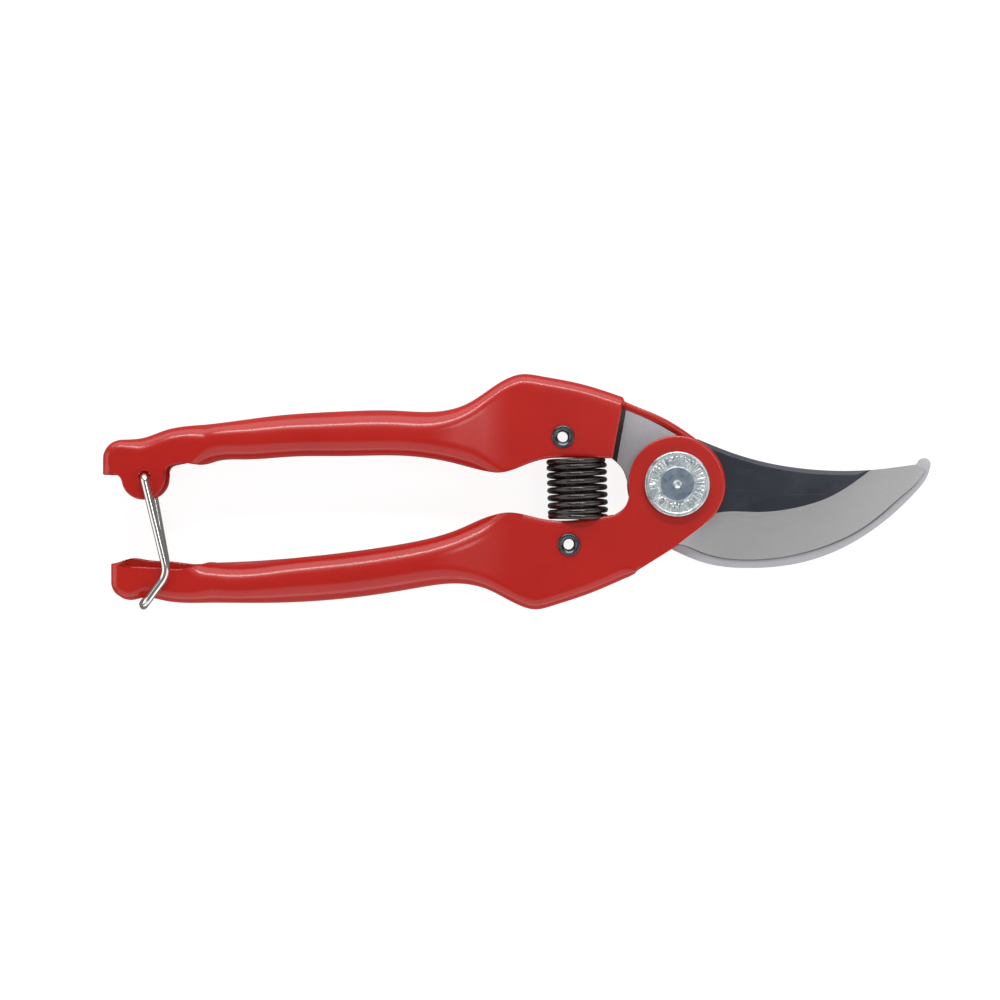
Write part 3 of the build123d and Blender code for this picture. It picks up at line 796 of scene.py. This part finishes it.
def pivot_bolt():
    """Broad stamped head on a plain shank, with a centre hole in its far end."""
    angles = np.linspace(0, 2 * math.pi, HEAD_STEPS)
    radii = np.concatenate([np.linspace(AXIS_HOLE, 1.5, 16), np.linspace(1.8, 3.6, 7),
                            np.linspace(3.7, 6.9, 56),
                            FACE_RADIUS + HEAD_ROUNDING * np.sin(np.linspace(0, math.pi / 2, 7))])
    bm = bmesh.new()
    add_grid(bm, [[(r * math.cos(a), r * math.sin(a), HEAD_TOP + head_height(r, a)) for a in angles]
                  for r in radii])
    cap = arc((0, 0), AXIS_HOLE, 0, 360, HEAD_STEPS)[:-1]
    add_flat(bm, cap, HEAD_TOP + head_height(AXIS_HOLE, 0.0))
    side = [(HEAD_RADIUS, HEAD_TOP - HEAD_ROUNDING), (HEAD_RADIUS, FRONT + 0.15), (HEAD_RADIUS - 0.15, FRONT),
            (BOLT_RADIUS, FRONT), (BOLT_RADIUS, 0.5), (BOLT_RADIUS - 0.5, 0.0), (1.2, 0.0), (0.9, 0.35),
            (AXIS_HOLE, 0.35)]
    add_grid(bm, [[(r * math.cos(a), r * math.sin(a), z) for a in angles] for r, z in side])
    add_flat(bm, cap, 0.35)
    piece = shade(to_piece("pivot_bolt_disc", bm, [ZINC, ZINC_FACE]), 38)
    # darker bluish zinc on the head's flat middle, between the dimple and the ring of strokes
    for face in piece.data.polygons:
        darker_middle = 1.0 * MM < math.hypot(*face.center[:2]) < 3.85 * MM
        face.material_index = 1 if darker_middle and face.center.z > FRONT * MM else 0
    return place(piece, "pivot_bolt", "lower_half")


NUT_FLATS = 13.0         # across the hexagon's flats


def pivot_nut():
    """Hexagon nut with its corners turned down and a chamfered bore."""
    hexagon = arc((0, 0), NUT_FLATS / math.sqrt(3), 0, 360, 7)[:-1]
    piece = plate("pivot_nut_hexagon", hexagon, 0, NUT_TOP, [ZINC])
    round_rims(piece, 0.15, 2)
    cone = turned([(0.01, -1), (6.2, -1), (6.2, 0), (7.25, 0.6), (7.25, NUT_TOP - 0.6), (6.2, NUT_TOP),
                   (6.2, NUT_TOP + 1), (0.01, NUT_TOP + 1)], (0, 0))
    bore = turned([(0.01, -1), (4.6, -1), (4.6, 0.0), (4.02, 0.55), (4.02, NUT_TOP + 1), (0.01, NUT_TOP + 1)],
                  (0, 0))
    combine(piece, cone, "INTERSECT")
    combine(piece, bore)
    return place(shade(piece, 28), "pivot_nut", "lower_half")


def pivot_washer():
    """Flat washer between the nut and the rear eye."""
    inner, outer = BOLT_RADIUS + 0.1, 7.6
    profile = [(inner, NUT_TOP + 0.12), (inner + 0.12, NUT_TOP), (outer - 0.2, NUT_TOP),
               (outer, NUT_TOP + 0.2), (outer, WASHER_TOP - 0.15), (outer - 0.15, WASHER_TOP),
               (inner, WASHER_TOP)]
    piece = shade(to_piece("pivot_washer_ring", turned(profile, (0, 0)), [ZINC]), 35)
    return place(piece, "pivot_washer", "lower_half")


pivot_bolt()
pivot_nut()
pivot_washer()


# ================================ rivets, spring and bail =========================================

def hollow_rivet(name, centre, node, body):
    """Tubular rivet with a rolled rim at each end."""
    rim = [(2.6, 0.0), (2.6, 0.2)]   # (radius, height above the handle)
    rim += [(2.2 + 0.4 * math.cos(a), 0.2 + 0.38 * math.sin(a)) for a in np.linspace(0.3, 1.9, 7)]
    rim += [(1.75, 0.42), (1.5, 0.3), (1.32, 0.05), (1.25, -0.3)]
    front = [(r, FRONT + h) for r, h in rim]
    rear = [(r, REAR - h) for r, h in reversed(rim)]
    profile = front + rear + [(RIVET_RADIUS, REAR), (RIVET_RADIUS, FRONT)]
    piece = shade(to_piece(name, turned(profile, centre, 72), [DARK]), 45)
    return place(piece, node, body)


hollow_rivet("upper_blade_rivet_tube", UPPER_RIVET, "upper_blade_rivet", "upper_half")
hollow_rivet("lower_blade_rivet_tube", LOWER_RIVET, "lower_blade_rivet", "lower_half")

SPRING_X, SPRING_RADIUS, SPRING_WIRE = -23.0, 6.35, 1.3
SPRING_LOW, SPRING_HIGH = -7.8, 5.55
SPRING_TURNS = 8.45


def return_spring():
    """Compression coil across the handles, with closed-up end turns."""
    n = np.linspace(0, SPRING_TURNS, 680)
    pitch = 1.25 + 0.6 * ease(n, 0.8, 1.6) * (1 - ease(n, SPRING_TURNS - 1.6, SPRING_TURNS - 0.8))
    rise = np.concatenate([[0], np.cumsum((pitch[1:] + pitch[:-1]) / 2)])
    turn = 2 * math.pi * n
    x = -SPRING_RADIUS * np.cos(turn)
    y = SPRING_LOW + (SPRING_HIGH - SPRING_LOW) * rise / rise[-1] - 0.05 * x * (1 - ease(n, 0.5, 1.0))
    lean = 0.4 * (1 - rise / rise[-1])
    path = np.column_stack([SPRING_X + x + lean, y, MIDDLE + SPRING_RADIUS * np.sin(turn)])
    piece = shade(to_piece("return_spring_coil", wire(path, SPRING_WIRE / 2, 18), [BLACK]), 60)
    place(piece, "return_spring", None)
    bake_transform(piece)


def bent(points, radii, steps=14):
    """A polyline whose inner corners are rounded with the given radii."""
    p = [np.array(q, float) for q in points]
    out = [p[0]]
    for a, b, c, radius in zip(p, p[1:], p[2:], radii):
        u, v = (a - b) / np.linalg.norm(a - b), (c - b) / np.linalg.norm(c - b)
        half = math.acos(np.clip(u @ v, -1, 1)) / 2
        middle = b + (u + v) / np.linalg.norm(u + v) * radius / math.sin(half)
        start, end = b + u * radius / math.tan(half), b + v * radius / math.tan(half)
        for t in np.linspace(0, 1, steps):
            ray = start + (end - start) * t - middle
            out.append(middle + ray / np.linalg.norm(ray) * radius)
    out.append(p[-1])
    return chain(out)


BAIL_WIRE_RADIUS = 0.925
BAIL_TWIST = 3.4         # degrees by which the rear leg is bent outwards


def lock_bail():
    """Bright wire: two hinge ends, two cranked legs and the crossbar under the lower handle."""
    leg = TAIL_HALF + 0.3 + BAIL_WIRE_RADIUS
    pin = TAIL_HALF - SHEET - 0.6
    hinge = np.array(BAIL_HINGE)
    c, s = math.cos(math.radians(BAIL_TWIST)), math.sin(math.radians(BAIL_TWIST))
    twist = np.array([[c, s], [-s, c]])
    front = [hinge, np.array(BAIL_KNEE), np.array(BAIL_CROSSBAR)]
    rear = [hinge + twist @ (p - hinge) for p in front]
    points = [(*hinge, MIDDLE + pin)]
    points += [(*p, MIDDLE + leg) for p in front]
    points += [(*p, MIDDLE - leg) for p in reversed(rear)]
    points.append((*hinge, MIDDLE - pin))
    path = bent(points, [1.2, 4.8, 2.2, 2.2, 4.8, 1.2])
    piece = shade(to_piece("lock_bail_wire", wire(path, BAIL_WIRE_RADIUS, 24), [BRIGHT]), 60)
    return place(piece, "lock_bail", "bail")


return_spring()
lock_bail()


# ================================ light, floor and camera =========================================

LIGHT_CENTRE = Vector((-40.0, -4.0, MIDDLE))
LIGHT_DISTANCE = 900.0
CAMERA_PLACE = Vector((-40.66, -3.675, FRONT + 800.0))
CAMERA_LENS = 125.4
FLOOR_SIZE = 3000.0


def soft_light(name, width, height, zenith, azimuth, radiance):
    """A rectangular soft light that looks at the tool; zenith and azimuth (0 is +X, 90 is +Y) in degrees."""
    light = bpy.data.lights.new(name, "AREA")
    light.shape = "RECTANGLE"
    light.size, light.size_y = width * MM, height * MM
    light.energy = radiance * math.pi * light.size * light.size_y
    lamp = bpy.data.objects.new(name, light)
    z, a = math.radians(zenith), math.radians(azimuth)
    aim = Vector((math.sin(z) * math.cos(a), math.sin(z) * math.sin(a), math.cos(z)))
    lamp.location = (LIGHT_CENTRE + aim * LIGHT_DISTANCE) * MM
    lamp.rotation_euler = aim.to_track_quat("Z", "Y").to_euler()
    lamp.visible_camera = False
    bpy.context.scene.collection.objects.link(lamp)
    return lamp


def studio():
    """Soft lights, pale floor and the photograph's straight-down view."""
    scene = bpy.context.scene
    scene.view_settings.view_transform = "Standard"
    world = bpy.data.worlds.new("studio")
    world.use_nodes = True
    background = world.node_tree.nodes["Background"]
    background.inputs["Color"].default_value = colour(1, 1, 1)
    background.inputs["Strength"].default_value = 0.2
    scene.world = world
    soft_light("key_strip", 700, 115, 47, 90, 15.0)
    soft_light("broad_back", 1800, 560, 78, 90, 1.7)
    soft_light("front_fill", 1800, 640, 52, 270, 0.75)
    soft_light("low_front", 1800, 240, 82, 270, 1.7)
    soft_light("side_key", 200, 200, 21, 32, 5.0)
    soft_light("right_wall", 700, 900, 60, 335, 1.0)
    soft_light("left_wall", 700, 900, 68, 180, 1.1)

    floor = Nodes("pale_floor", Roughness=0.9)
    floor.link(floor.mix(floor.range(floor.noise(6, 2), 0.3, 0.7, 0, 1), colour(0.24, 0.24, 0.24),
                         colour(0.26, 0.26, 0.26)), "Base Color")
    floor.shader.inputs["Emission Color"].default_value = colour(1, 1, 1)
    floor.shader.inputs["Emission Strength"].default_value = 0.88
    bm = bmesh.new()
    bmesh.ops.create_grid(bm, x_segments=8, y_segments=8, size=FLOOR_SIZE)
    ground = to_piece("floor", bm, [floor.material])
    ground.visible_glossy = False

    data = bpy.data.cameras.new("camera")
    data.sensor_width = 36.0
    data.lens = CAMERA_LENS
    data.clip_start, data.clip_end = 0.05, 20.0
    camera = bpy.data.objects.new("camera", data)
    camera.location = CAMERA_PLACE * MM
    scene.collection.objects.link(camera)
    scene.camera = camera


studio()
